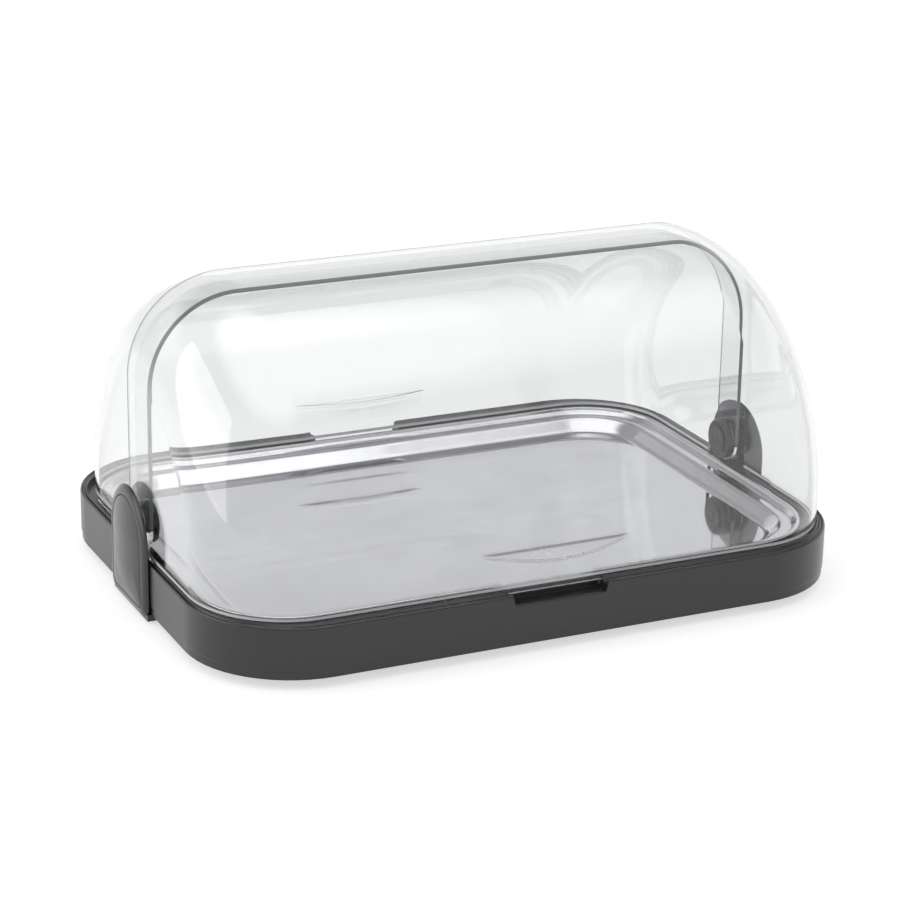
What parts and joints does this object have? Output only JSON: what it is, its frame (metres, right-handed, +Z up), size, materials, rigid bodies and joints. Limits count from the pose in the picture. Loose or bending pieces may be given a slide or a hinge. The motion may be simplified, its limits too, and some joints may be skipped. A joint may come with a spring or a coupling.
{
  "type": "chilled roll-top display",
  "caption": "Countertop chilled display: steel tray over cool packs in a dark base, under clear nested half hoods that roll open to the front and to the rear.",
  "frame": {"origin": "on the standing surface, under the centre of the base", "axes": "+X along the hinge axis to the right as seen from the front, +Y to the rear, +Z up"},
  "size_m": [0.44, 0.32, 0.205],
  "materials": {
    "dark_abs": "satin moulded ABS",
    "clear_san": "clear moulded SAN",
    "polished_steel": "polished stainless steel",
    "zinc_steel": "zinc plated",
    "white_nylon": "moulded nylon",
    "black_rubber": "matt",
    "pack_polyethylene": "blow-moulded polyethylene filled with gel",
    "cap_polyethylene": "moulded polyethylene"
  },
  "bodies": {
    "base": {"base_shell": "dark_abs", "steel_tray": "polished_steel", "left_bracket": "dark_abs", "right_bracket": "dark_abs", "left_bracket_cover": "dark_abs", "right_bracket_cover": "dark_abs", "left_pivot_pin": "polished_steel", "right_pivot_pin": "polished_steel", "left_spacer_washer": "white_nylon", "right_spacer_washer": "white_nylon", "left_pivot_disc": "dark_abs", "right_pivot_disc": "dark_abs", "left_disc_screw": "zinc_steel", "right_disc_screw": "zinc_steel", "left_front_bracket_screw": "zinc_steel", "left_rear_bracket_screw": "zinc_steel", "right_front_bracket_screw": "zinc_steel", "right_rear_bracket_screw": "zinc_steel", "front_left_foot": "black_rubber", "front_right_foot": "black_rubber", "rear_left_foot": "black_rubber", "rear_right_foot": "black_rubber", "left_cool_pack": "pack_polyethylene", "right_cool_pack": "pack_polyethylene", "left_cool_pack_cap": "cap_polyethylene", "right_cool_pack_cap": "cap_polyethylene"},
    "front_lid": {"front_lid": "clear_san"},
    "rear_lid": {"rear_lid": "clear_san"}
  },
  "joints": [
    {"name": "front_lid_roll", "type": "hinge", "parent": "base", "child": "front_lid", "pos_m": [0, 0, 0.054], "axis": [-1, 0, 0], "range_deg": [0, 90]},
    {"name": "rear_lid_roll", "type": "hinge", "parent": "base", "child": "rear_lid", "pos_m": [0, 0, 0.054], "axis": [1, 0, 0], "range_deg": [0, 90]}
  ]
}
